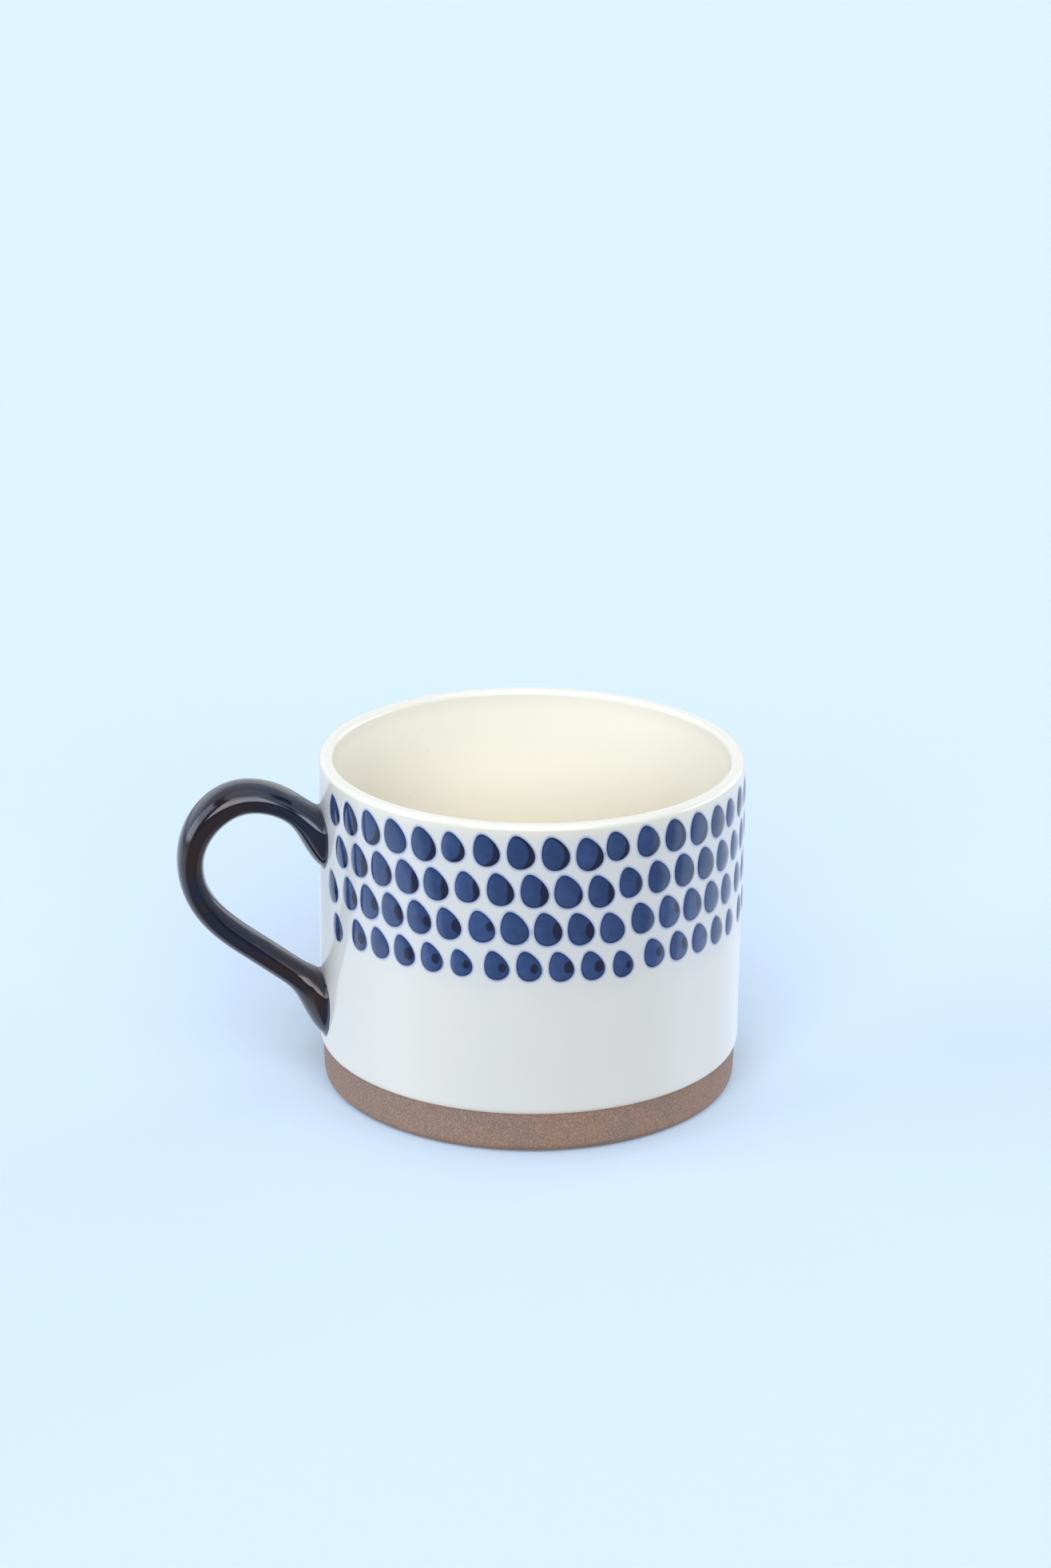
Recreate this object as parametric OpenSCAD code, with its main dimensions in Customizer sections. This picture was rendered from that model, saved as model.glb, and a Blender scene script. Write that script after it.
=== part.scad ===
// Straight-sided stoneware mug: a white glazed cup with a bare clay base band,
// four rows of raised drops, and a dark glazed loop handle luted on at two joints.
// Millimetres, +Z up. The axis of the cup is the Z axis, the foot stands on z = 0,
// and the handle lies in the XZ plane on the -X side.

/* [Cup] */

// outside radius of the glazed wall
cup_radius = 46; // [38:0.5:52]
// height of the lip above the table
cup_height = 74; // [60:1:110]
// wall thickness at the lip, glaze included
lip_wall = 3.1; // [2.6:0.1:5]
// how much thicker the wall is at the bottom of the cup
wall_taper = 1; // [0:0.1:3]
// depth of clay and glaze under the drink
floor_thickness = 5.4; // [4.5:0.1:8]
// radius of the inside corner between floor and wall
inside_corner = 8; // [4:0.5:14]
// thickness of every coat of glaze
glaze = 0.35; // [0.25:0.05:0.6]

/* [Foot] */

// height of the bare clay band under the white glaze
band_height = 9.4; // [4:0.1:16]
// how far the bare clay leans in from the glazed wall
band_lean = 0.4; // [0:0.05:2.5]
// rounding of the bottom edge
foot_round = 2.2; // [0.8:0.1:3]
// width of the flat ring the mug stands on
foot_ring = 5.5; // [3:0.5:9]
// depth of the recess under the foot
foot_recess = 1.8; // [0.8:0.1:2.4]

/* [Drops] */

// how far the drops stand off the wall
drop_relief = 0.35; // [0.2:0.05:0.6]
// radius of the largest drop
drop_radius = 3.46; // [2.4:0.02:4]
// height of the middle of the four rows
drops_z = 55.2; // [40:0.1:90]
// height from one row to the next
drop_row_step = 8.4; // [6:0.1:11]
// distance from one drop to the next along the top row
drop_pitch = 7.2; // [6:0.1:10]
// lean of each drop to the left, in degrees
drop_lean = 18; // [0:1:30]

/* [Handle] */

// from the wall to the far side of the handle
handle_reach = 30.9; // [24:0.1:40]
// height of the handle's centreline at its crown
crown_z = 67.1; // [55:0.1:100]
// height of the centreline where it turns back down
bend_z = 52.5; // [40:0.5:80]
// height of the centreline where it meets the wall at the upper joint
upper_joint_z = 60.1; // [46:0.1:90]
// height of the centreline where it meets the wall at the lower joint
lower_joint_z = 22.7; // [16:0.1:36]
// thickness of the handle, seen from the side
handle_thickness = 5.8; // [4:0.1:9]
// width of the handle at its crown, across the plane of the loop
crown_width = 11.6; // [8:0.1:16]
// width of the handle along its lower run
strut_width = 9.1; // [6:0.1:14]
// how far the upper joint hangs below the handle's own thickness
upper_hang = 6; // [2:0.1:10]
// how far the lower joint hangs below the handle's own thickness
lower_hang = 7.2; // [2:0.1:10]
// width of both joints on the wall
pad_width = 15; // [11:0.1:20]

/* [Hidden] */

eps = 0.01;
round_fn = 96;

// cup section
clay_radius = cup_radius - glaze;
inside_radius = cup_radius - lip_wall;
lip_round = 1.3;
glaze_edge = 0.8;
foot_radius = clay_radius - band_lean;
recess_slope = 2;

// drops: eight stamps of five columns and four rows go round the cup
drop_rows = 4;
drop_columns = 5;
stamp_count = 8;
stamp_start = 175;
// hand placing of each stamp: slip round the cup and turn in degrees, lift in millimetres
stamp_slip = [0, -0.9, -2.3, -4.1, -5.4, -4.1, -2.8, -1.4];
stamp_turn = [-0.7, 1.9, -0.2, -0.8, -0.2, 0.9, -1.1, 0.6];
stamp_lift = [-0.5, 0.15, 0.25, 0.45, -0.35, 0.1, -0.15, 0.2];
row_shift = 2.93;
pitch_loss = 0.14;
stamp_bow = 0.08;
handle_clearance = 12.4;
drop_points = 16;
drop_slimness = 0.86;
drop_length = 1.15;
drop_point = 0.26;
drop_seat = 0.2;

// handle centreline: four Bezier pieces that meet end to end
root_u = cup_radius - 1.6;
bend_thinning = 0.05;
bend_u = cup_radius + handle_reach - (1 - bend_thinning) * handle_thickness / 2;
crown_u = cup_radius + handle_reach / 2;
strut_slope = 0.74;
strut_top = [cup_radius + 16.2, lower_joint_z + 11];
round_arc = 0.53;
handle_curve = [
    // wall to crown
    [[root_u, upper_joint_z - 0.8], [cup_radius + 2.7, upper_joint_z + 0.1],
     [cup_radius + 6.9, crown_z], [crown_u, crown_z]],
    // crown to the outer bend
    [[crown_u, crown_z], [crown_u + round_arc * (bend_u - crown_u), crown_z],
     [bend_u, bend_z + round_arc * (crown_z - bend_z)], [bend_u, bend_z]],
    // outer bend to the straight run
    [[bend_u, bend_z], [bend_u, bend_z - 8.8],
     strut_top + 6.3 * [1, strut_slope], strut_top],
    // straight run down to the wall
    [strut_top, strut_top - 8.2 * [1, strut_slope],
     [cup_radius + 4, lower_joint_z + 1.6], [root_u, lower_joint_z - 1.8]]
];
crown_s = 1.3;
bend_s = 2.1;
crown_bulge = 0.1;
flare_reach = 3.2;
flare_power = 2.8;
upright_reach = 9;
pad_lift = 0.6;
pad_belly = 0.1;
section_power = 0.87;
handle_rings = 46;
ring_points = 20;
slip_thickness = 0.6;

// colours
clay_colour = [0.60, 0.53, 0.48];
white_colour = [0.88, 0.90, 0.90];
cream_colour = [0.93, 0.91, 0.83];
cobalt_colour = [0.20, 0.28, 0.50];
slip_colour = [0.55, 0.48, 0.43];
dark_colour = [0.10, 0.11, 0.15];

// ---------- cup ----------

module ring_tube(r_in, r_out, z_low, z_high) {
    translate([0, 0, z_low]) difference() {
        cylinder(r = r_out, h = z_high - z_low, $fn = round_fn);
        translate([0, 0, -eps]) cylinder(r = r_in, h = z_high - z_low + 2 * eps, $fn = round_fn);
    }
}

// half section of the space inside the cup, with the wall's skin taken off by coat
module cavity_2d(coat) {
    r_top = inside_radius + glaze - coat;
    r_low = r_top - wall_taper;
    z_low = floor_thickness - glaze + coat;
    z_lip = cup_height - lip_round;
    corner = inside_corner - coat;
    polygon([[0, z_low], [r_low - corner, z_low], [r_low - corner, z_low + corner],
             [r_low, z_low + corner], [r_top, z_lip], [r_top, cup_height + 1],
             [0, cup_height + 1]]);
    translate([r_low - corner, z_low + corner]) circle(r = corner, $fn = round_fn);
}

// half section of the lip: a rounded bar that tops the wall
module lip_2d(coat) {
    r = lip_round - glaze + coat;
    z = cup_height - lip_round;
    r_mid_in = inside_radius + lip_round;
    r_mid_out = cup_radius - lip_round;
    for (x = [r_mid_in, r_mid_out]) translate([x, z]) circle(r = r, $fn = round_fn);
    translate([r_mid_in, z]) square([r_mid_out - r_mid_in, r]);
    translate([r_mid_in - r, z - 4]) square([r_mid_out - r_mid_in + 2 * r, 4]);
}

// half section of the bare cup
module clay_2d() {
    difference() {
        union() {
            polygon([[0, 0], [foot_radius - foot_round, 0], [foot_radius, foot_round],
                     [clay_radius - 0.15, band_height], [clay_radius, band_height + 5],
                     [clay_radius, cup_height - lip_round - 2],
                     [0, cup_height - lip_round - 2]]);
            translate([foot_radius - foot_round, foot_round])
                circle(r = foot_round, $fn = round_fn);
            lip_2d(0);
        }
        cavity_2d(0);
        ring_in = foot_radius - foot_round - foot_ring;
        polygon([[0, -1], [ring_in + recess_slope / 2, -1], [ring_in, 0],
                 [ring_in - recess_slope, foot_recess], [0, foot_recess]]);
        translate([-10, -10]) square([10, cup_height + 20]);
    }
}

// half section of the clay and both coats above the glaze line
module coated_2d() {
    difference() {
        union() {
            polygon([[0, band_height], [clay_radius - 0.15, band_height],
                     [clay_radius - 0.05 + glaze / 2, band_height + glaze_edge / 3],
                     [cup_radius - 0.08, band_height + glaze_edge],
                     [cup_radius, band_height + 5],
                     [cup_radius, cup_height - lip_round - 2],
                     [0, cup_height - lip_round - 2]]);
            lip_2d(glaze);
        }
        cavity_2d(glaze);
        translate([-10, -10]) square([10, cup_height + 20]);
    }
}

// everything inside the mouth, up to the inner edge of the lip
module liner_zone_2d() {
    square([inside_radius + lip_round / 2, cup_height - lip_round / 2]);
}

module clay_body() {
    color(clay_colour) rotate_extrude($fn = round_fn) clay_2d();
}

module outer_glaze() {
    color(white_colour) difference() {
        rotate_extrude($fn = round_fn) difference() {
            coated_2d();
            clay_2d();
            liner_zone_2d();
        }
        handle_solid(glaze);
    }
}

module inner_glaze() {
    color(cream_colour) rotate_extrude($fn = round_fn) intersection() {
        difference() {
            coated_2d();
            clay_2d();
        }
        liner_zone_2d();
    }
}

// ---------- drops ----------

// outline of one drop: an egg with its point up, leaning to the left
function drop_outline(r) = [for (i = [0 : drop_points - 1])
    let (t = 360 * i / drop_points,
         x = drop_slimness * r * cos(t) * (1 - drop_point * sin(t)),
         y = r * (drop_length * sin(t) + 0.08))
    turned([x, y], drop_lean)];

function turned(p, a) = [p[0] * cos(a) - p[1] * sin(a), p[0] * sin(a) + p[1] * cos(a)];

// the fullest column drifts to the left from row to row, and the last row is smaller
function drop_size(row, column) =
    (row == drop_rows - 1 ? 0.91 : 1) * drop_radius
    - 0.045 * pow(column - 3.1 + 0.6 * row, 2);

// place of a drop on its stamp, measured from the stamp's middle
function stamp_place(row, column) =
    let (r = row - (drop_rows - 1) / 2, c = column - (drop_columns - 1) / 2)
    [c * (drop_pitch - pitch_loss * row) + r * row_shift,
     -r * drop_row_step - stamp_bow * pow(column - 1, 2)];

// angle between a place on the wall and the middle of the handle
function off_handle(a) = abs((a % 360) - 180);

module drops_row(row) {
    color(cobalt_colour) intersection() {
        ring_tube(cup_radius, cup_radius + drop_relief, 0, cup_height);
        for (stamp = [0 : stamp_count - 1], column = [0 : drop_columns - 1]) {
            place = turned(stamp_place(row, column), stamp_turn[stamp]);
            a = stamp_start + stamp * 360 / stamp_count + stamp_slip[stamp]
                + place[0] / (cup_radius + drop_seat) * 180 / PI;
            if (off_handle(a) > handle_clearance)
                rotate([0, 0, a])
                    translate([cup_radius - 1, 0, drops_z + place[1] + stamp_lift[stamp]])
                        rotate([90, 0, 90]) linear_extrude(3) rotate(stamp_turn[stamp])
                            polygon(drop_outline(drop_size(row, column)));
        }
    }
}

module drops_row_1() { drops_row(0); }
module drops_row_2() { drops_row(1); }
module drops_row_3() { drops_row(2); }
module drops_row_4() { drops_row(3); }

// ---------- handle ----------

function bezier(p, t) =
    pow(1 - t, 3) * p[0] + 3 * t * pow(1 - t, 2) * p[1] + 3 * t * t * (1 - t) * p[2] + t * t * t * p[3];
function bezier_slope(p, t) =
    pow(1 - t, 2) * (p[1] - p[0]) + 2 * t * (1 - t) * (p[2] - p[1]) + t * t * (p[3] - p[2]);
function smooth(x) = let (c = min(max(x, 0), 1)) c * c * (3 - 2 * c);
function mix(a, b, x) = a + (b - a) * x;
function signed_power(x, e) = sign(x) * pow(abs(x), e);

// s runs from 0 at the upper joint to 4 at the lower one
function piece(s) = handle_curve[min(floor(s), 3)];
function along(s) = s - min(floor(s), 3);
function centre(s) = bezier(piece(s), along(s));
function heading(s) = let (d = bezier_slope(piece(s), along(s))) atan2(d[1], d[0]);

// 1 at the wall, 0 where the handle stands clear of it
function flare(s) = exp(-pow(max(centre(s)[0] - cup_radius, 0) / flare_reach, flare_power));

// the sections stand upright at the wall and square to the run elsewhere
function section_angle(s) =
    mix(s < 2 ? 90 : -90, heading(s) + 90, smooth((centre(s)[0] - cup_radius) / upright_reach));

// half thickness of the run itself: fuller at the crown, thinner at the outer bend
function run_half(s) = handle_thickness * (0.5
    + crown_bulge * exp(-pow((s - crown_s) / 0.53, 2))
    - bend_thinning / 2 * exp(-pow((s - bend_s) / 0.4, 2)));

function half_width(s) =
    mix(mix(crown_width, strut_width, smooth((s - 1.2) / 1.3)) / 2, pad_width / 2, flare(s));

// one section: a plump oval whose underside hangs down where it meets the wall
function handle_ring(s, inset) =
    let (c = centre(s), a = section_angle(s), f = flare(s), up = s < 2 ? 1 : -1,
         hw = half_width(s) - inset)
    [for (i = [0 : ring_points - 1])
        let (t = 360 * i / ring_points, rise = up * sin(t),
             reach = run_half(s) - inset
                 + f * (rise > 0 ? pad_lift : up > 0 ? upper_hang : lower_hang),
             across = reach * signed_power(sin(t), section_power),
             side = hw * signed_power(cos(t), section_power) * (1 - pad_belly * f * rise))
        [-(c[0] + across * cos(a)), side, c[1] + across * sin(a)]];

module handle_solid(inset) {
    n = ring_points;
    rings = [for (k = [0 : handle_rings]) handle_ring(4 * k / handle_rings, inset)];
    points = [for (r = rings) for (p = r) p];
    sides = [for (k = [0 : handle_rings - 1]) for (i = [0 : n - 1])
        let (a = k * n + i, b = k * n + (i + 1) % n)
        each [[a, b, b + n], [a, b + n, a + n]]];
    cap_start = [for (i = [n - 1 : -1 : 0]) i];
    cap_end = [for (i = [0 : n - 1]) handle_rings * n + i];
    polyhedron(points, concat(sides, [cap_start, cap_end]), convexity = 6);
}

module slip(z_low, z_high) {
    color(slip_colour) intersection() {
        ring_tube(clay_radius, clay_radius + slip_thickness, z_low, z_high);
        handle_solid(glaze);
    }
}

module upper_slip() { slip(bend_z - 12, cup_height); }
module lower_slip() { slip(0, bend_z - 12); }

module handle_clay() {
    color(clay_colour) difference() {
        handle_solid(glaze);
        cylinder(r = clay_radius + slip_thickness, h = cup_height, $fn = round_fn);
    }
}

module handle_glaze() {
    color(dark_colour) difference() {
        handle_solid(0);
        handle_solid(glaze);
        cylinder(r = cup_radius, h = cup_height, $fn = round_fn);
    }
}

clay_body();
outer_glaze();
inner_glaze();
drops_row_1();
drops_row_2();
drops_row_3();
drops_row_4();
upper_slip();
lower_slip();
handle_clay();
handle_glaze();
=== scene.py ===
"""Looks for the stoneware mug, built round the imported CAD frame.

Lengths are in millimetres, and meshes are scaled to metres at the last step. Only the floor and the
camera's place are in metres, and the scales of noises and specks are per metre.
"""

import math

import bpy
import numpy as np
from mathutils import Matrix, Vector


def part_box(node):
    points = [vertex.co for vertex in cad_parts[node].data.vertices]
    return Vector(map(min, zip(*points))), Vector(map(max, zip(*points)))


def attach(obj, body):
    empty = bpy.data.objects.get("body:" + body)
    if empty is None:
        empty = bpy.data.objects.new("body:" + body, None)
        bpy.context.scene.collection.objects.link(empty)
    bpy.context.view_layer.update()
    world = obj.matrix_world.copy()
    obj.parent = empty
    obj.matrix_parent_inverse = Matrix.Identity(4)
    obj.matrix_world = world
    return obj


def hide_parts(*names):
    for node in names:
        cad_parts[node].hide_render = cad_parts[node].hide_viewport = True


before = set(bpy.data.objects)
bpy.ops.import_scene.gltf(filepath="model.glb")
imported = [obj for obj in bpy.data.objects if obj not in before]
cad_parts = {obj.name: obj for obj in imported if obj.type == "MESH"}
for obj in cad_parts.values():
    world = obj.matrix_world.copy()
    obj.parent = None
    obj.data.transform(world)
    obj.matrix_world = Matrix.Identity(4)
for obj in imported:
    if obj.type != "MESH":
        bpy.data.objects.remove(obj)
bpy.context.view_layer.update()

METRES = 0.001

# ---------- sizes, in millimetres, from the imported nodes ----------


def box_mm(node):
    """A CAD node's corners in millimetres."""
    return [np.array(corner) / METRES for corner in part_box(node)]


GLAZE_BOX = box_mm("outer_glaze")
CLAY_BOX = box_mm("clay_body")
LINER_BOX = box_mm("inner_glaze")
CUP_R = GLAZE_BOX[1][1]
CUP_H = GLAZE_BOX[1][2]
BAND_H = GLAZE_BOX[0][2]
CLAY_R = CLAY_BOX[1][1]
COAT = CUP_R - CLAY_R
CLAY_FLOOR = LINER_BOX[0][2]
FLOOR_Z = CLAY_FLOOR + COAT

# the rest of the cup's section, as in the CAD source
LIP_WALL = 3.1
LIP_ROUND = 1.3
WALL_TAPER = 1.0
CORNER_R = 8.0
FOOT_LEAN = 0.4
FOOT_ROUND = 2.2
FOOT_RING = 5.5
FOOT_RECESS = 1.8
RECESS_SLOPE = 2.0
INSIDE_R = CUP_R - LIP_WALL
LIP_Z = CUP_H - LIP_ROUND
LIP_OUTER, LIP_INNER = (CUP_R - LIP_ROUND, LIP_Z), (INSIDE_R + LIP_ROUND, LIP_Z)
FOOT_R = CLAY_R - FOOT_LEAN

LATHE_STEPS = 300
ON_AXIS = 1e-9  # points nearer the axis than this become poles


# ---------- mesh helpers ----------


def new_piece(name, points_mm, faces, slot, nodes, material):
    """A smooth mesh piece on the root body, made from points in millimetres."""
    mesh = bpy.data.meshes.new(name)
    mesh.from_pydata((np.asarray(points_mm) * METRES).tolist(), [], faces)
    mesh.validate()
    mesh.shade_smooth()
    mesh.materials.append(material)
    piece = bpy.data.objects.new(name, mesh)
    bpy.context.scene.collection.objects.link(piece)
    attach(piece, "root")
    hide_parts(*nodes)
    return piece


def arc(centre, radius, start, end, steps):
    """Points of an arc in the section plane, angles in degrees."""
    angles = np.radians(np.linspace(start, end, steps + 1))
    return [
        (centre[0] + radius * math.cos(a), centre[1] + radius * math.sin(a))
        for a in angles
    ]


def line(start, end, steps):
    """Points from start up to but not including end."""
    return [
        (
            start[0] + (end[0] - start[0]) * k / steps,
            start[1] + (end[1] - start[1]) * k / steps,
        )
        for k in range(steps)
    ]


def smooth(x):
    """0 below 0, 1 above 1, and an even curve between."""
    x = np.clip(x, 0, 1)
    return x * x * (3 - 2 * x)


def mixed(a, b, x):
    return a + (b - a) * x


# slow unevenness of the thrown wall: waves round, radians per mm of height, phase, wave height
WALL_WAVES = [
    (2, 0.020, 0.4, 0.030),
    (3, 0.050, 2.1, 0.022),
    (5, 0.120, 4.0, 0.014),
    (9, 0.210, 1.3, 0.008),
    (14, 0.330, 5.2, 0.005),
]


def wall_offset(angle, z):
    """How far the wall stands off the true cylinder, in millimetres."""
    return sum(h * np.sin(n * angle + m * z + p) for n, m, p, h in WALL_WAVES)


def lathe(profile, offset=None):
    """Points and faces of a closed half section turned round Z. Points on the axis become poles."""
    points, faces, rows = [], [], []
    for r, z in profile:
        if r < ON_AXIS:
            rows.append([len(points)])
            points.append((0.0, 0.0, z))
            continue
        first = len(points)
        for k in range(LATHE_STEPS):
            a = 2 * math.pi * k / LATHE_STEPS
            rr = r + (offset(a, r, z) if offset else 0.0)
            points.append((rr * math.cos(a), rr * math.sin(a), z))
        rows.append(list(range(first, first + LATHE_STEPS)))
    for low, high in zip(rows, rows[1:] + rows[:1]):
        if len(low) == 1 and len(high) == 1:
            continue
        for k in range(LATHE_STEPS):
            n = (k + 1) % LATHE_STEPS
            if len(low) == 1:
                faces.append((low[0], high[n], high[k]))
            elif len(high) == 1:
                faces.append((low[k], low[n], high[0]))
            else:
                faces.append((low[k], low[n], high[n], high[k]))
    return points, faces


UNEVEN_FROM, UNEVEN_RAMP = 0.3, 1.6  # out from the inner wall: where it starts, and over how much


def outer_side(a, r, z):
    """Unevenness for a whole cup section: full on the outer wall, none inside the cup."""
    share = min(max((r - (INSIDE_R + UNEVEN_FROM)) / UNEVEN_RAMP, 0.0), 1.0)
    return share * float(wall_offset(a, z))


# ---------- node material helpers ----------


class Graph:
    """Short words for building a node tree."""

    def __init__(self, tree):
        self.tree = tree

    def add(self, kind, **values):
        node = self.tree.nodes.new(kind)
        for key, value in values.items():
            setattr(node, key, value)
        return node

    def feed(self, socket, value):
        if isinstance(value, bpy.types.NodeSocket):
            self.tree.links.new(value, socket)
        elif hasattr(socket.default_value, "__len__") and len(value) == 3:
            socket.default_value = (*value, 1.0)
        else:
            socket.default_value = value

    def math(self, operation, a, b=0.0, c=0.0):
        node = self.add("ShaderNodeMath", operation=operation)
        for socket, value in zip(node.inputs, (a, b, c)):
            self.feed(socket, value)
        return node.outputs[0]

    def ramp(self, value, low, high, to_low=0.0, to_high=1.0):
        """A smooth step: to_low where value is at low, to_high where it is at high."""
        node = self.add("ShaderNodeMapRange", interpolation_type="SMOOTHSTEP")
        for socket, v in zip(node.inputs, (value, low, high, to_low, to_high)):
            self.feed(socket, v)
        return node.outputs[0]

    def mix(self, share, a, b, blend="MIX"):
        node = self.add("ShaderNodeMix", data_type="RGBA", blend_type=blend)
        self.feed(node.inputs["Factor"], share)
        self.feed(node.inputs[6], a)
        self.feed(node.inputs[7], b)
        return node.outputs[2]


class Nodes(Graph):
    """The node tree of one material."""

    def __init__(self, name):
        self.material = bpy.data.materials.new(name)
        self.material.use_nodes = True
        super().__init__(self.material.node_tree)
        self.shader = self.tree.nodes["Principled BSDF"]
        self.place = self.add("ShaderNodeTexCoord").outputs["Object"]

    def noise(self, scale, detail=3.0, roughness=0.5):
        node = self.add("ShaderNodeTexNoise")
        self.feed(node.inputs["Vector"], self.place)
        for key, value in (("Scale", scale), ("Detail", detail), ("Roughness", roughness)):
            node.inputs[key].default_value = value
        return node.outputs[0]

    def spread(self, noise, low, high):
        """Values from low to high that follow a noise, whose middle range is 0.3 to 0.7."""
        return self.ramp(noise, 0.3, 0.7, low, high)

    def specks(self, scale, size):
        """1 in the middle of scattered round specks, 0 elsewhere."""
        node = self.add("ShaderNodeTexVoronoi")
        self.feed(node.inputs["Vector"], self.place)
        node.inputs["Scale"].default_value = scale
        return self.ramp(node.outputs["Distance"], size, size * 0.4)

    def height(self):
        """Height above the table, in millimetres."""
        split = self.add("ShaderNodeSeparateXYZ")
        self.feed(split.inputs[0], self.place)
        return self.math("DIVIDE", split.outputs[2], METRES)

    def attribute(self, name):
        return self.add("ShaderNodeAttribute", attribute_name=name).outputs["Fac"]

    def bump(self, noise, depth):
        """Unevenness of the surface that follows a noise, depth in millimetres."""
        node = self.add("ShaderNodeBump")
        node.inputs["Distance"].default_value = depth * METRES
        self.feed(node.inputs["Height"], noise)
        self.feed(self.shader.inputs["Normal"], node.outputs[0])

    def finish(self, colour, roughness, **sockets):
        self.feed(self.shader.inputs["Base Color"], colour)
        self.feed(self.shader.inputs["Roughness"], roughness)
        for name, value in sockets.items():
            self.feed(self.shader.inputs[name.replace("_", " ")], value)
        return self.material


# ---------- materials ----------

CLAY_BROWN = (0.250, 0.172, 0.136)
CLAY_DARK = (0.120, 0.090, 0.085)
CLAY_LIGHT = (0.440, 0.350, 0.295)
CLAY_ORANGE = (0.390, 0.200, 0.110)
# painted light: a pale lilac that stands in for light bounced up from the floor onto the foot
FLOOR_BOUNCE_LILAC = (0.480, 0.440, 0.470)
WHITE = (0.650, 0.658, 0.630)
WHITE_THIN = (0.700, 0.600, 0.460)
# painted highlight: a lighter, warmer white near the lip, where the rounded lip catches the light
# from above
LIP_HIGHLIGHT_WHITE = (0.690, 0.680, 0.605)
CREAM = (0.802, 0.730, 0.562)
# painted light: a paler, less yellow cream for the upper inside, where more light reaches into the
# cup
CREAM_HIGH = (0.772, 0.756, 0.656)
BLED = (0.915, 0.945, 1.000)
COBALT = (0.021, 0.046, 0.126)
COBALT_THIN = (0.042, 0.080, 0.205)
COBALT_DEEP = (0.009, 0.010, 0.027)
COBALT_EDGE = (0.014, 0.025, 0.080)
COBALT_HALO = (0.300, 0.370, 0.570)
GLAZE_BLACK = (0.009, 0.014, 0.034)
GLAZE_BROWN = (0.019, 0.012, 0.014)
GLAZE_BLUE = (0.008, 0.016, 0.050)
SHEEN_BLUE = (0.550, 0.750, 1.000)

DROPS_LOW, DROPS_HIGH = box_mm("drops_row_4")[0][2], box_mm("drops_row_1")[1][2]
BOUNCE_LINE = (0.05, 0.15, 0.45, 0.75)  # heights of the painted floor-bounce light on the foot: where it starts, is full, thins and ends


def clay_material():
    """Fine sandy unglazed stoneware: dark, light and orange grains, and a painted pale lilac line
    of floor-bounce light at the table.
    """
    n = Nodes("bare_clay")
    grain = n.noise(2900, 2.0, 0.7)
    sand = n.noise(1700, 2.0, 0.7)
    cloud = n.noise(75, 4.0, 0.55)
    base = n.mix(n.ramp(cloud, 0.4, 0.65, 0.0, 0.30), CLAY_BROWN, CLAY_ORANGE)
    base = n.mix(n.ramp(sand, 0.53, 0.68, 0.0, 0.55), base, CLAY_ORANGE)
    base = n.mix(n.ramp(sand, 0.46, 0.32, 0.0, 0.40), base, CLAY_DARK)
    base = n.mix(n.ramp(grain, 0.53, 0.68, 0.0, 0.60), base, CLAY_LIGHT)
    base = n.mix(n.ramp(grain, 0.47, 0.32, 0.0, 0.50), base, CLAY_DARK)
    height = n.height()
    # painted light: a thin pale lilac band low on the foot's rounding, where light from the floor
    # falls
    start, full, thins, end = BOUNCE_LINE
    floor_bounce = n.math("MULTIPLY", n.ramp(height, start, full), n.ramp(height, end, thins))
    base = n.mix(n.math("MULTIPLY", floor_bounce, 0.8), base, FLOOR_BOUNCE_LILAC)
    n.bump(n.math("ADD", grain, n.math("MULTIPLY", sand, 1.5)), 0.08)
    return n.finish(
        base,
        n.spread(sand, 0.72, 0.92),
        Specular_IOR_Level=0.3,
        Sheen_Weight=0.06,
        Sheen_Roughness=0.5,
        Sheen_Tint=SHEEN_BLUE,
    )


def white_base(n):
    """The white glaze: faintly clouded, cream where it thins at the bottom, and warmer and lighter
    towards the lip, a painted highlight of the lip catching the light from above.
    """
    colour = n.mix(n.spread(n.noise(45), 0.0, 0.10), WHITE, CREAM)
    height = n.height()
    edge = n.ramp(height, BAND_H, BAND_H + 0.8, 1.0, 0.0)
    colour = n.mix(n.math("MULTIPLY", edge, 0.75), colour, WHITE_THIN)
    # painted highlight: the white turns lighter and warmer towards the lip
    colour = n.mix(n.ramp(height, CUP_H - 6.0, CUP_H - 1.0), colour, LIP_HIGHLIGHT_WHITE)
    return n.mix(n.math("MULTIPLY", n.specks(160, 0.035), 0.35), colour, CLAY_BROWN)


def wall_tint(n, colour):
    """The faint blue that has bled from the drops into the white between them."""
    height = n.height()
    wandering = n.math("ADD", height, n.spread(n.noise(70), -2.0, 2.0))
    zone = n.math(
        "MULTIPLY",
        n.ramp(wandering, DROPS_LOW - 5.0, DROPS_LOW + 5.0),
        n.ramp(height, DROPS_HIGH + 1.0, DROPS_HIGH - 2.0),
    )
    return n.mix(zone, colour, BLED, "MULTIPLY")


def white_material():
    """Glossy white stoneware glaze."""
    n = Nodes("white_glaze")
    n.bump(n.noise(230, 2.0, 0.4), 0.04)
    colour = wall_tint(n, white_base(n))
    return n.finish(colour, n.spread(n.noise(90), 0.07, 0.13), IOR=1.52)


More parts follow.
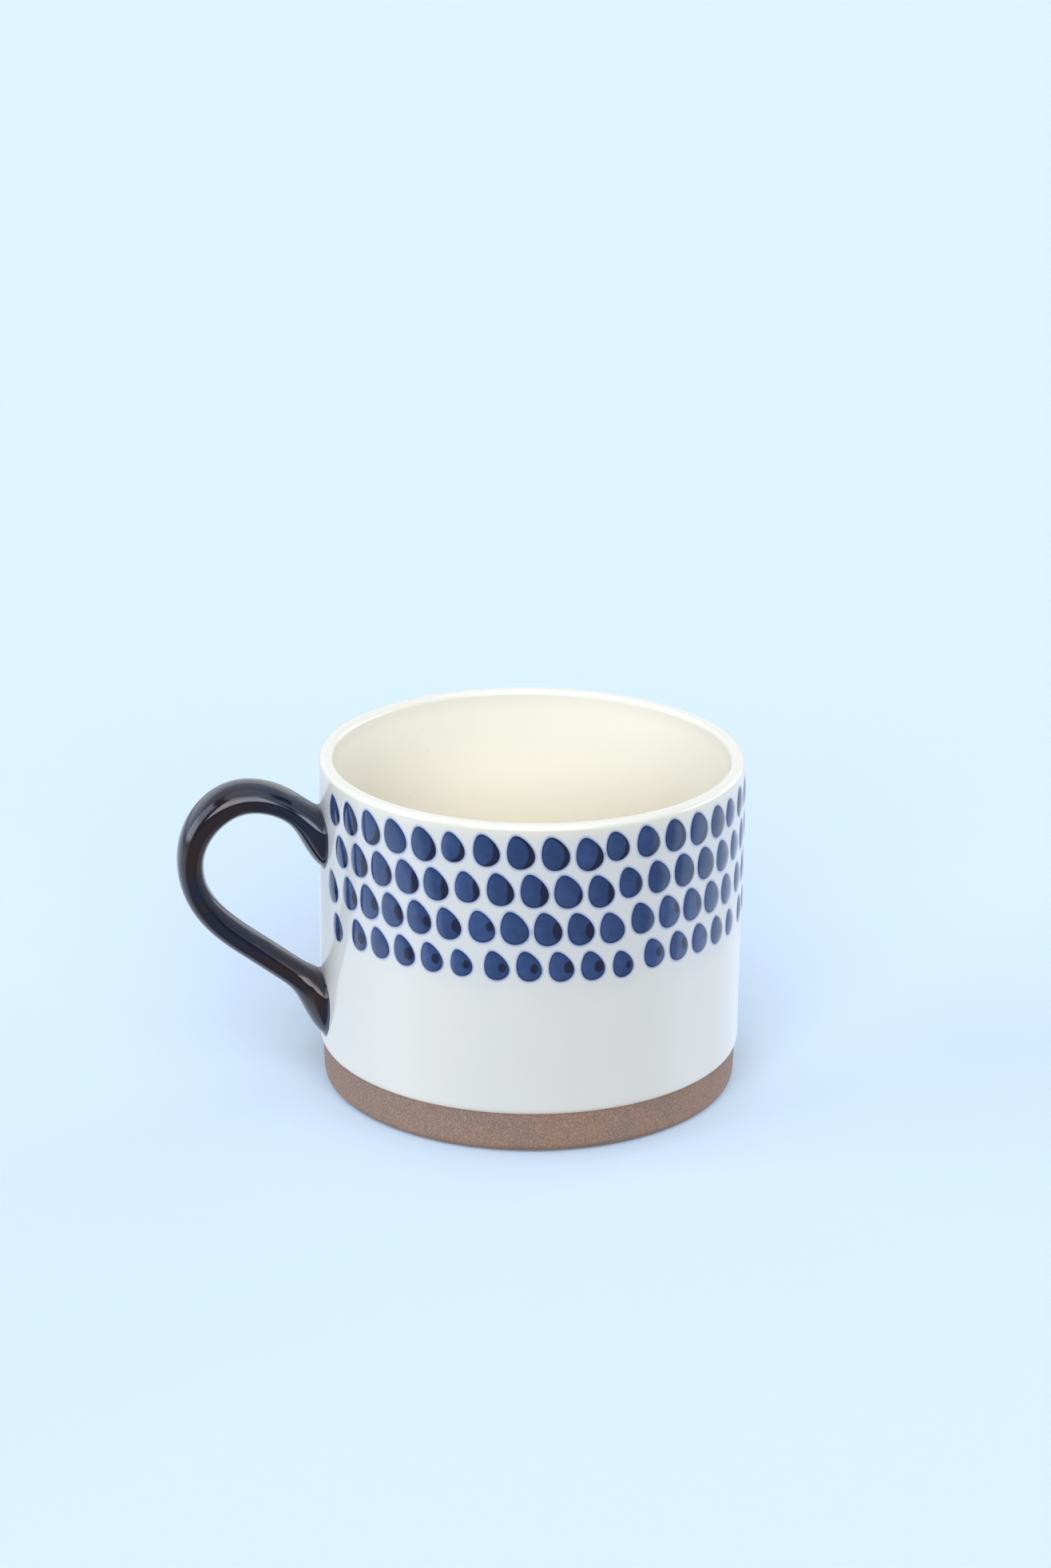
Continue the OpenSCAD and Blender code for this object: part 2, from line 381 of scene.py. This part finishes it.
def liner_material():
    """Warm cream inside, with painted light that makes it paler towards the top, running into the
    white over the lip, which carries a painted highlight.
    """
    n = Nodes("cream_glaze")
    height = n.height()
    # painted light: the cream grows paler towards the top of the inside
    cream = n.mix(n.ramp(height, 0.2 * CUP_H, CUP_H), CREAM, CREAM_HIGH)
    cream = n.mix(n.spread(n.noise(55), 0.0, 0.12), cream, WHITE)
    # the cream runs into the white over the lip, and that white carries the painted highlight of
    # the lip
    colour = n.mix(n.ramp(height, CUP_H - 5.0, CUP_H - 0.7), cream, LIP_HIGHLIGHT_WHITE)
    colour = n.mix(n.math("MULTIPLY", n.specks(150, 0.03), 0.3), colour, CLAY_BROWN)
    n.bump(n.noise(200, 2.0, 0.4), 0.04)
    return n.finish(
        colour, n.spread(n.noise(90), 0.16, 0.24), IOR=1.48, Specular_IOR_Level=0.35
    )


def drop_material():
    """Cobalt: lighter where it is thin, nearly black where it pooled, a dark rim, a soft halo."""
    n = Nodes("cobalt_drops")
    rho, pool, thin = n.attribute("rho"), n.attribute("pool"), n.attribute("thin")
    cloud = n.noise(420)
    blue = n.mix(n.math("ADD", thin, n.spread(cloud, -0.2, 0.2)), COBALT, COBALT_THIN)
    blue = n.mix(n.ramp(rho, 0.80, 0.90, 0.0, 0.7), blue, COBALT_EDGE)
    pool = n.math("ADD", pool, n.spread(cloud, -0.25, 0.25))
    blue = n.mix(n.ramp(pool, 0.25, 0.75, 0.0, 0.85), blue, COBALT_DEEP)
    halo = n.mix(n.ramp(rho, 0.94, SKIRT), COBALT_HALO, wall_tint(n, white_base(n)))
    colour = n.mix(n.ramp(rho, 0.925, 0.975), blue, halo)
    n.bump(n.noise(300, 2.0, 0.4), 0.04)
    return n.finish(colour, n.spread(n.noise(90), 0.06, 0.11), IOR=1.5)


def dark_material():
    """Blue-black glaze, brownish where it is thick and bluer where it thins at the joints."""
    n = Nodes("dark_glaze")
    cloud = n.noise(90, 4.0, 0.55)
    colour = n.mix(n.ramp(cloud, 0.35, 0.65), GLAZE_BLACK, GLAZE_BROWN)
    colour = n.mix(n.ramp(n.attribute("seam"), 0.0, 0.7, 1.0, 0.0), colour, GLAZE_BLUE)
    n.bump(n.noise(160, 2.0, 0.4), 0.06)
    return n.finish(
        colour,
        n.spread(n.noise(70), 0.08, 0.13),
        IOR=1.56,
        Sheen_Weight=0.04,
        Sheen_Roughness=0.25,
        Sheen_Tint=SHEEN_BLUE,
    )


# ---------- cup ----------

THROWING_RIPPLE, RIPPLE_PITCH = 0.05, 2.8  # the turned rings under the foot
RECESS_STEP = 0.7


def clay_profile():
    """Closed section of the bare cup, from the middle of the underside outwards and round."""
    ring_in = FOOT_R - FOOT_ROUND - FOOT_RING
    recess_r = ring_in - RECESS_SLOPE
    under = [(0.0, FOOT_RECESS)]
    for r in np.arange(RECESS_STEP, recess_r - 1.0, RECESS_STEP):
        rise = THROWING_RIPPLE * math.sin(2 * math.pi * r / RIPPLE_PITCH)
        under.append((r, FOOT_RECESS + rise))
    under += [(recess_r - 0.6, FOOT_RECESS), (recess_r, FOOT_RECESS - 0.08)]
    under += [(recess_r + 0.6, FOOT_RECESS - 0.55), (ring_in - 0.25, 0.22), (ring_in, 0.05)]
    under += [(ring_in + 0.25, 0.0), (ring_in + 1.0, 0.0)]
    under += line((ring_in + 1.0, 0.0), (FOOT_R - FOOT_ROUND, 0.0), 3)[1:]
    band = arc((FOOT_R - FOOT_ROUND, FOOT_ROUND), FOOT_ROUND, -90, 0, 14)
    band += line(band[-1], (CLAY_R - 0.15, BAND_H), 14)[1:]
    wall = line((CLAY_R - 0.15, BAND_H), (CLAY_R, BAND_H + 5), 3)
    wall += line((CLAY_R, BAND_H + 5), (CLAY_R, LIP_Z), 20)
    inner_r = LIP_ROUND - COAT
    lip = arc(LIP_OUTER, inner_r, 0, 90, 6)
    lip += arc(LIP_INNER, inner_r, 90, 180, 6)
    low_r = INSIDE_R + COAT - WALL_TAPER
    inside = line(lip[-1], (low_r, CLAY_FLOOR + CORNER_R), 12)[1:]
    inside += arc((low_r - CORNER_R, CLAY_FLOOR + CORNER_R), CORNER_R, 0, -90, 10)
    inside += line(inside[-1], (0.0, CLAY_FLOOR), 4)[1:] + [(0.0, CLAY_FLOOR)]
    return under + band + wall + lip + inside


LINER_START = 150  # degrees round the lip where the liner takes over
SEAM = 1.0  # degrees: a narrow ring on each side of that line keeps its shading from bending
FLOOR_STEPS, FLOOR_RIPPLE = 24, 0.03


def white_profile():
    """Closed section of the white coat, with a rounded bead at its lower edge."""
    edge = [
        (CLAY_R - 0.17, BAND_H - 0.02),
        (CLAY_R - 0.02, BAND_H - 0.03),
        (CLAY_R + 0.12, BAND_H + 0.06),
        (CLAY_R + 0.24, BAND_H + 0.24),
        (CLAY_R + 0.33, BAND_H + 0.55),
        (CLAY_R + 0.37, BAND_H + 1.0),
        (CLAY_R + 0.37, BAND_H + 1.8),
        (CUP_R, BAND_H + 3.2),
    ]
    wall = line((CUP_R, BAND_H + 5), (CUP_R, LIP_Z), 56)
    lip = arc(LIP_OUTER, LIP_ROUND, 0, 90, 12)
    lip += arc(LIP_INNER, LIP_ROUND, 90, LINER_START - SEAM, 8)
    lip += arc(LIP_INNER, LIP_ROUND, LINER_START - SEAM, LINER_START, 1)[1:]
    back = arc(LIP_INNER, LIP_ROUND - COAT, LINER_START, 90, 5)
    back += arc(LIP_OUTER, LIP_ROUND - COAT, 90, 0, 6)
    back += [(CLAY_R, BAND_H + 5)]
    return edge + wall + lip + back


def liner_profile():
    """Closed section of the liner, from the lip down to the middle of the floor and back."""
    low_r = INSIDE_R - WALL_TAPER
    corner = CORNER_R - COAT
    corner_middle = (low_r - corner, FLOOR_Z + corner)
    face = arc(LIP_INNER, LIP_ROUND, LINER_START, LINER_START + SEAM, 1)
    face += arc(LIP_INNER, LIP_ROUND, LINER_START + SEAM, 180, 4)[1:]
    face += line(face[-1], (low_r, FLOOR_Z + corner), 30)[1:]
    face += arc(corner_middle, corner, 0, -90, 14)
    start_r = low_r - corner
    for k in range(1, FLOOR_STEPS + 1):
        r = start_r * (1 - k / FLOOR_STEPS)
        fade = math.sin(math.pi * k / FLOOR_STEPS)
        face.append((r, FLOOR_Z + FLOOR_RIPPLE * math.sin(r * 1.1) * fade))
    back = [(0.0, CLAY_FLOOR), (start_r, CLAY_FLOOR)]
    back += arc(corner_middle, CORNER_R, -90, 0, 8)[1:]
    back += arc(LIP_INNER, LIP_ROUND - COAT, 180, LINER_START, 3)
    return face + back


def build_cup():
    cup = lathe(clay_profile(), outer_side)
    new_piece("cup_clay", *cup, "bare_clay", ["clay_body"], clay_material())
    coat = lathe(white_profile(), outer_side)
    new_piece("white_coat", *coat, "white_glaze", ["outer_glaze"], white_material())
    liner = lathe(liner_profile())
    new_piece("cream_liner", *liner, "cream_glaze", ["inner_glaze"], liner_material())


# ---------- drops ----------

DOME, DOME_POWER = 0.34, 2.3
SKIRT = 1.15  # how far the soft edge of a drop reaches, against its outline
SKIRT_LIFT = 0.010
BURIED = 0.12  # how deep the back of a drop lies in the white glaze
DROP_SIDES = 48
DROP_RINGS = [0.0, 0.12, 0.25, 0.38, 0.5, 0.6, 0.7, 0.78, 0.84, 0.89, 0.93, 0.96, 1.0]
SKIRT_RINGS = [1.02, 1.05, 1.10, SKIRT]
POOLED_BELOW = 0.7  # a drop's colour has pooled if its random draw, from -1 to 1, is below this
POOL_SOFTNESS = 0.14
OUTLINE_JITTER = 0.02
ROWS = 4
FIT_ORDER = 2  # waves in the smooth outline that is fitted to a drop's corners
STRAIGHT = 0.02  # twice the area, in mm2, under which a corner of the hull counts as straight
CAP_DEPTH = 0.05  # points this near a drop's top belong to its flat outer face


def loose_parts(mesh):
    """The separate shells of a CAD mesh, each as an array of points in millimetres."""
    points = np.array([v.co for v in mesh.vertices]) / METRES
    _, merged = np.unique(np.round(points, 3), axis=0, return_inverse=True)
    merged = merged.ravel()
    group = np.arange(merged.max() + 1)

    def root(i):
        while group[i] != i:
            group[i] = group[group[i]]
            i = group[i]
        return i

    for polygon in mesh.polygons:
        first, *others = (root(merged[v]) for v in polygon.vertices)
        for other in others:
            group[root(other)] = root(first)
    roots = np.array([root(i) for i in merged])
    return [points[roots == r] for r in np.unique(roots)]


def hull(points):
    """Corners of the convex hull of flat points, counter-clockwise, without the straight ones."""
    points = sorted(map(tuple, np.round(points, 4)))

    def turn(p, q, r):
        return (q[0] - p[0]) * (r[1] - q[1]) - (q[1] - p[1]) * (r[0] - q[0])

    def half(run):
        kept = []
        for p in run:
            while len(kept) > 1 and turn(kept[-2], kept[-1], p) <= STRAIGHT:
                kept.pop()
            kept.append(p)
        return kept[:-1]

    return np.array(half(points) + half(points[::-1]))


def outline_terms(angles):
    """The constant and the waves that outlines are made of, one row for each angle."""
    waves = [np.ones_like(angles)]
    for k in range(1, FIT_ORDER + 1):
        waves += [np.cos(k * angles), np.sin(k * angles)]
    return np.stack(waves, axis=-1)


def read_drop(points):
    """A drop's angle and height, and the waves of the smooth outline through its CAD corners."""
    radius = np.hypot(points[:, 0], points[:, 1])
    top = points[radius > radius.max() - CAP_DEPTH]
    middle = np.arctan2(top[:, 1].mean(), top[:, 0].mean())
    across = top[:, 1] * math.cos(middle) - top[:, 0] * math.sin(middle)
    corners = hull(np.stack([across, top[:, 2]], axis=1))
    turns = np.linspace(0, 2 * math.pi, len(corners), endpoint=False)
    waves = np.linalg.lstsq(outline_terms(turns), corners, rcond=None)[0]
    return middle + waves[0][0] / CUP_R, waves[0][1], waves[1:]


def pigment(x, y, depth, seed):
    """How far the colour has pooled at a place on a drop, and how thin it is there, both 0 to 1.

    x and y are in drop radii. In the upper rows the colour pools in a crescent along the right, in
    the lower ones (depth near 1) in a spot.
    """
    crescent = math.hypot(x + 0.42 + 0.12 * seed[0], (y - 0.15 * seed[1]) * 0.9) - 1.0
    reach = 0.30 + 0.08 * seed[2]
    spot = reach - math.hypot(x - 0.50 - 0.1 * seed[0], (y + 0.05 - 0.15 * seed[1]) * 0.8)
    pooled = 1 if seed[3] < POOLED_BELOW else 0
    pool = (mixed(crescent, spot, depth) / POOL_SOFTNESS + 0.5) * pooled
    thin = 0.20 + 0.35 * depth - 0.45 * x - 0.2 * y + 0.30 * seed[1]
    return min(max(pool, 0.0), 1.0), min(max(thin, 0.0), 1.0)


def build_row(name, node, depth, material, random):
    """One row of domed drops: closed shells, each with a thin skirt that carries its soft edge."""
    points, faces, marks = [], [], []
    turns = np.linspace(0, 2 * math.pi, DROP_SIDES, endpoint=False)
    shares = DROP_RINGS + SKIRT_RINGS
    for part in loose_parts(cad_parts[node].data):
        angle, height, waves = read_drop(part)
        waves = waves + random.normal(0, OUTLINE_JITTER, waves.shape)
        edge = outline_terms(turns)[:, 1:] @ waves
        size = np.hypot(*edge.T).mean()
        seed = random.uniform(-1, 1, 4)
        first = len(points)

        def place(across, up, lift, share):
            a, z = angle + across / CUP_R, height + up
            r = CUP_R + wall_offset(a, z) + lift
            points.append((r * math.cos(a), r * math.sin(a), z))
            marks.append((share, *pigment(across / size, up / size, depth, seed)))

        for ring, share in enumerate(shares):
            rise = DOME * (1 - share**DOME_POWER) if share < 1 else 0.0
            for across, up in share * (edge[:1] if ring == 0 else edge):
                place(across, up, SKIRT_LIFT + rise, share)
        for across, up in SKIRT * edge:
            place(across, up, -BURIED, SKIRT)
        place(0.0, 0.0, -BURIED, 0.0)
        back = len(points) - 1
        for k in range(DROP_SIDES):
            n = (k + 1) % DROP_SIDES
            faces.append((first, first + 1 + k, first + 1 + n))
            for ring in range(len(shares) - 1):
                low = first + 1 + ring * DROP_SIDES
                high = low + DROP_SIDES
                faces.append((low + k, high + k, high + n, low + n))
            outer = back - DROP_SIDES
            faces.append((back, outer + n, outer + k))
    piece = new_piece(name, points, faces, "cobalt_drops", [node], material)
    on_rim = [mark[0] == SKIRT for mark in marks]
    sharp = piece.data.attributes.new("sharp_edge", "BOOLEAN", "EDGE")
    sharp.data.foreach_set("value", [all(on_rim[v] for v in e.vertices) for e in piece.data.edges])
    for key, values in zip(("rho", "pool", "thin"), zip(*marks)):
        attribute = piece.data.attributes.new(key, "FLOAT", "POINT")
        attribute.data.foreach_set("value", np.array(values, np.float32))


def build_drops():
    material = drop_material()
    random = np.random.default_rng(7)
    for row in range(1, ROWS + 1):
        depth = (row - 1) / (ROWS - 1)
        build_row(f"drops_{row}", f"drops_row_{row}", depth, material, random)


# ---------- handle ----------

REACH = 30.9
CROWN_Z, BEND_Z, UPPER_Z, LOWER_Z = 67.1, 52.5, 60.1, 22.7
THICKNESS = 5.8
BEND_THINNING = 0.05
ROOT_U = CUP_R - 1.6
CROWN_U = CUP_R + REACH / 2
BEND_U = CUP_R + REACH - (1 - BEND_THINNING) * THICKNESS / 2
ROUND_ARC = 0.53
STRUT_SLOPE = np.array([1, 0.74])
STRUT_TOP = np.array([CUP_R + 16.2, LOWER_Z + 11])
HANDLE_CURVE = np.array(
    [
        [
            (ROOT_U, UPPER_Z - 0.8),
            (CUP_R + 2.7, UPPER_Z + 0.1),
            (CUP_R + 6.9, CROWN_Z),
            (CROWN_U, CROWN_Z),
        ],
        [
            (CROWN_U, CROWN_Z),
            (CROWN_U + ROUND_ARC * (BEND_U - CROWN_U), CROWN_Z),
            (BEND_U, BEND_Z + ROUND_ARC * (CROWN_Z - BEND_Z)),
            (BEND_U, BEND_Z),
        ],
        [
            (BEND_U, BEND_Z),
            (BEND_U, BEND_Z - 8.8),
            tuple(STRUT_TOP + 6.3 * STRUT_SLOPE),
            tuple(STRUT_TOP),
        ],
        [
            tuple(STRUT_TOP),
            tuple(STRUT_TOP - 8.2 * STRUT_SLOPE),
            (CUP_R + 4, LOWER_Z + 1.6),
            (ROOT_U, LOWER_Z - 1.8),
        ],
    ]
)
CROWN_S, CROWN_SPREAD, CROWN_BULGE = 1.3, 0.53, 0.1
BEND_S, BEND_SPREAD = 2.1, 0.4
TILT_REACH = 9
CROWN_WIDTH, STRUT_WIDTH, PAD_WIDTH = 11.6, 9.1, 15.0
NARROW_FROM, NARROW_OVER = 1.2, 1.3  # where along s the width goes from the crown's to the strut's
UPPER_HANG, LOWER_HANG, PAD_LIFT, PAD_BELLY = 6.0, 7.2, 0.6, 0.1
FLARE_REACH, FLARE_POWER = 3.5, 2.3
SECTION_POWER = 0.87
MENISCUS = 0.75
RING_SIDES = 72


def handle_centre(s):
    """Centreline point and heading in degrees at s, from 0 at the upper joint to 4 at the lower."""
    piece = min(int(s), 3)
    t = s - piece
    p = HANDLE_CURVE[piece]
    point = (
        (1 - t) ** 3 * p[0]
        + 3 * t * (1 - t) ** 2 * p[1]
        + 3 * t * t * (1 - t) * p[2]
        + t**3 * p[3]
    )
    slope = (
        (1 - t) ** 2 * (p[1] - p[0])
        + 2 * t * (1 - t) * (p[2] - p[1])
        + t * t * (p[3] - p[2])
    )
    return point, math.degrees(math.atan2(slope[1], slope[0]))


def handle_section(s):
    """One ring of the handle at s: its middle, its tilt, and its points sideways and across.

    It follows the CAD source, but the joints flare out more gradually.
    """
    centre, heading = handle_centre(s)
    flare = math.exp(-((max(centre[0] - CUP_R, 0) / FLARE_REACH) ** FLARE_POWER))
    upright = 90 if s < 2 else -90
    tilt = math.radians(mixed(upright, heading + 90, smooth((centre[0] - CUP_R) / TILT_REACH)))
    run_half = THICKNESS * (
        0.5
        + CROWN_BULGE * math.exp(-(((s - CROWN_S) / CROWN_SPREAD) ** 2))
        - BEND_THINNING / 2 * math.exp(-(((s - BEND_S) / BEND_SPREAD) ** 2))
    )
    width = mixed(CROWN_WIDTH, STRUT_WIDTH, smooth((s - NARROW_FROM) / NARROW_OVER)) / 2
    width = mixed(width, PAD_WIDTH / 2, flare)
    t = np.linspace(0, 2 * math.pi, RING_SIDES, endpoint=False)
    rise = (1 if s < 2 else -1) * np.sin(t)
    hang = UPPER_HANG if s < 2 else LOWER_HANG
    reach = run_half + flare * np.where(rise > 0, PAD_LIFT, hang)
    across = reach * np.sign(np.sin(t)) * np.abs(np.sin(t)) ** SECTION_POWER
    side = width * np.sign(np.cos(t)) * np.abs(np.cos(t)) ** SECTION_POWER
    side = side * (1 - PAD_BELLY * flare * rise)
    return centre, tilt, side, across


def ring_steps():
    """Values of s for the rings, close together at both joints, where the glaze meets the wall."""
    near = np.concatenate([np.linspace(0, 0.42, 46), np.linspace(0.43, 0.6, 8)])
    middle = np.linspace(0.62, 3.38, 110)
    return np.concatenate([near, middle, 4 - near[::-1]])


def handle_ring(s):
    """Points of one ring with the meniscus added, and their distance to the wall."""
    centre, tilt, side, across = handle_section(s)
    along = [np.roll(v, -1) - np.roll(v, 1) for v in (side, across)]
    outward = np.stack([along[1], -along[0]]) / np.hypot(*along)

    def place(y, reach):
        x = -(centre[0] + reach * math.cos(tilt))
        return np.stack([x, y, centre[1] + reach * math.sin(tilt)], axis=1)

    points = place(side, across)
    gap = np.hypot(points[:, 0], points[:, 1]) - CUP_R
    open_share = np.clip(1 - gap / MENISCUS, 0, 1)
    fillet = MENISCUS * (1 - np.sqrt(1 - open_share**2))
    points = place(side + outward[0] * fillet, across + outward[1] * fillet)
    return points, gap


def build_handle():
    points, gaps = zip(*(handle_ring(s) for s in ring_steps()))
    rings = len(points)
    points, gaps = np.concatenate(points), np.concatenate(gaps)
    faces = []
    for ring in range(rings - 1):
        for k in range(RING_SIDES):
            n = (k + 1) % RING_SIDES
            low, high = ring * RING_SIDES, (ring + 1) * RING_SIDES
            faces.append((low + k, high + k, high + n, low + n))
    faces.append(tuple(range(RING_SIDES)))
    faces.append(tuple((rings - 1) * RING_SIDES + k for k in reversed(range(RING_SIDES))))
    piece = new_piece(
        "handle_coat", points, faces, "dark_glaze", ["handle_glaze"], dark_material()
    )
    attribute = piece.data.attributes.new("seam", "FLOAT", "POINT")
    attribute.data.foreach_set("value", np.maximum(gaps, 0).astype(np.float32))


def finish_cad_nodes():
    """The clay inside the handle and its joints stay as CAD nodes, with the clay's material."""
    clay = bpy.data.materials["bare_clay"]
    for node in ("handle_clay", "upper_slip", "lower_slip"):
        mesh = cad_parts[node].data
        mesh.materials.clear()
        mesh.materials.append(clay)


# ---------- stage ----------

FLOOR_BLUE = (0.572, 0.688, 0.800)
FLOOR_HALF_M = 6.0
SKY_BLUE = (0.745, 0.900, 1.0)


def build_floor():
    """A plain pale blue floor that runs out of sight.

    It is hidden from the mug's bounced and mirrored light, where the ground panels stand in for it.
    """
    half = FLOOR_HALF_M
    mesh = bpy.data.meshes.new("floor")
    corners = [(-half, -half, 0), (half, -half, 0), (half, half, 0), (-half, half, 0)]
    mesh.from_pydata(corners, [], [(0, 1, 2, 3)])
    n = Nodes("floor_paper")
    n.bump(n.noise(600, 3.0, 0.6), 0.03)
    material = n.finish(FLOOR_BLUE, 0.75, Specular_IOR_Level=0.0)
    mesh.materials.append(material)
    floor = bpy.data.objects.new("floor", mesh)
    bpy.context.scene.collection.objects.link(floor)
    floor.visible_diffuse = False
    floor.visible_glossy = False


# The lights' tints, and the panels round the set as seen from the mug: middle azimuth and half
# width, low and high elevation and softness of the edges, all in degrees, then strength and tint.
# Azimuth 0 is -Y, 90 is +X.
KEY_TINT = (0.97, 1.00, 1.05)
SOFT_TINT = (0.96, 1.00, 1.12)
GROUND_TINT = (0.86, 1.00, 1.19)
PANELS = {
    "key_core": (-9, 34, 13, 46, 3, 4.8, KEY_TINT),
    "key_high": (-9, 34, 46, 64, 4, 3.0, SOFT_TINT),
    "left_low": (-92, 25, 0, 20, 6, 3.3, SOFT_TINT),
    "left_high": (-92, 25, 20, 45, 6, 2.1, SOFT_TINT),
    "right_low": (105, 30, 0, 20, 6, 4.4, SOFT_TINT),
    "right_high": (105, 25, 20, 45, 6, 0.2, SOFT_TINT),
    "back_low": (180, 60, 0, 25, 6, 1.1, KEY_TINT),
    "back_high": (180, 60, 25, 62, 6, 0.6, KEY_TINT),
    "zenith": (0, 181, 62, 91, 6, 1.0, KEY_TINT),
    "front_right": (45, 25, 30, 65, 6, 0.9, SOFT_TINT),
    "ground_front": (0, 70, -120, -4, 24, 0.25, KEY_TINT),
    "ground_left": (-110, 40, -120, -4, 24, 1.1, GROUND_TINT),
    "ground_right": (110, 40, -120, -4, 24, 1.25, GROUND_TINT),
    "ground_back": (180, 30, -120, -4, 24, 1.0, GROUND_TINT),
}


def window(g, value, low, high, soft):
    """1 between low and high, with soft edges, 0 outside."""
    rising = g.ramp(value, math.radians(low - soft / 2), math.radians(low + soft / 2))
    falling = g.ramp(value, math.radians(high - soft / 2), math.radians(high + soft / 2), 1.0, 0.0)
    return g.math("MULTIPLY", rising, falling)


def build_lights():
    """A world of soft panels. Past the floor the camera itself sees plain pale blue."""
    world = bpy.data.worlds.new("studio")
    bpy.context.scene.world = world
    world.use_nodes = True
    g = Graph(world.node_tree)
    g.tree.nodes.clear()
    split = g.add("ShaderNodeSeparateXYZ")
    g.feed(split.inputs[0], g.add("ShaderNodeTexCoord").outputs["Generated"])
    x, y, z = split.outputs
    azimuth = g.math("ARCTAN2", x, g.math("MULTIPLY", y, -1.0))
    elevation = g.math("ARCSINE", z)
    total = None
    for name, (middle, half, low, high, soft, strength, tint) in PANELS.items():
        turned = g.math("SUBTRACT", azimuth, math.radians(middle))
        turned = g.math("WRAP", turned, math.pi, -math.pi)
        across = window(g, turned, -half, half, soft)
        shape = g.math("MULTIPLY", across, window(g, elevation, low, high, soft))
        panel = g.add("ShaderNodeBackground", name=name)
        g.feed(panel.inputs["Color"], tint)
        g.feed(panel.inputs["Strength"], g.math("MULTIPLY", shape, strength))
        if total is None:
            total = panel.outputs[0]
            continue
        join = g.add("ShaderNodeAddShader")
        g.feed(join.inputs[0], total)
        g.feed(join.inputs[1], panel.outputs[0])
        total = join.outputs[0]
    sky = g.add("ShaderNodeBackground", name="sky")
    g.feed(sky.inputs["Color"], SKY_BLUE)
    seen = g.add("ShaderNodeMixShader")
    g.feed(seen.inputs[0], g.add("ShaderNodeLightPath").outputs["Is Camera Ray"])
    g.feed(seen.inputs[1], total)
    g.feed(seen.inputs[2], sky.outputs[0])
    g.feed(g.add("ShaderNodeOutputWorld").inputs[0], seen.outputs[0])
    world.cycles.sampling_method = "MANUAL"
    world.cycles.sample_map_resolution = 1024


# ---------- camera ----------

CAMERA_PLACE = (-0.1310, -0.7429, 0.33685)
CAMERA_TURN, CAMERA_PITCH, CAMERA_ROLL = 9.9, 19.70, 0.60
LENS, SENSOR = 85.0, 36.0


def build_camera():
    turn, pitch, roll = (math.radians(a) for a in (CAMERA_TURN, CAMERA_PITCH, CAMERA_ROLL))
    ahead = Vector(
        (math.sin(turn) * math.cos(pitch), math.cos(turn) * math.cos(pitch), -math.sin(pitch))
    )
    right = Vector((math.cos(turn), -math.sin(turn), 0))
    up = right.cross(ahead)
    side = right * math.cos(roll) + up * math.sin(roll)
    top = up * math.cos(roll) - right * math.sin(roll)
    data = bpy.data.cameras.new("camera")
    data.lens, data.sensor_width, data.sensor_fit = LENS, SENSOR, "AUTO"
    data.clip_start, data.clip_end = 0.01, 50
    camera = bpy.data.objects.new("camera", data)
    basis = Matrix((side, top, -ahead)).transposed().to_4x4()
    camera.matrix_world = Matrix.Translation(CAMERA_PLACE) @ basis
    bpy.context.scene.collection.objects.link(camera)
    bpy.context.scene.camera = camera


bpy.context.scene.view_settings.view_transform = "Standard"
build_camera()
build_cup()
build_drops()
build_handle()
finish_cad_nodes()
build_floor()
build_lights()

bpy.context.view_layer.update()
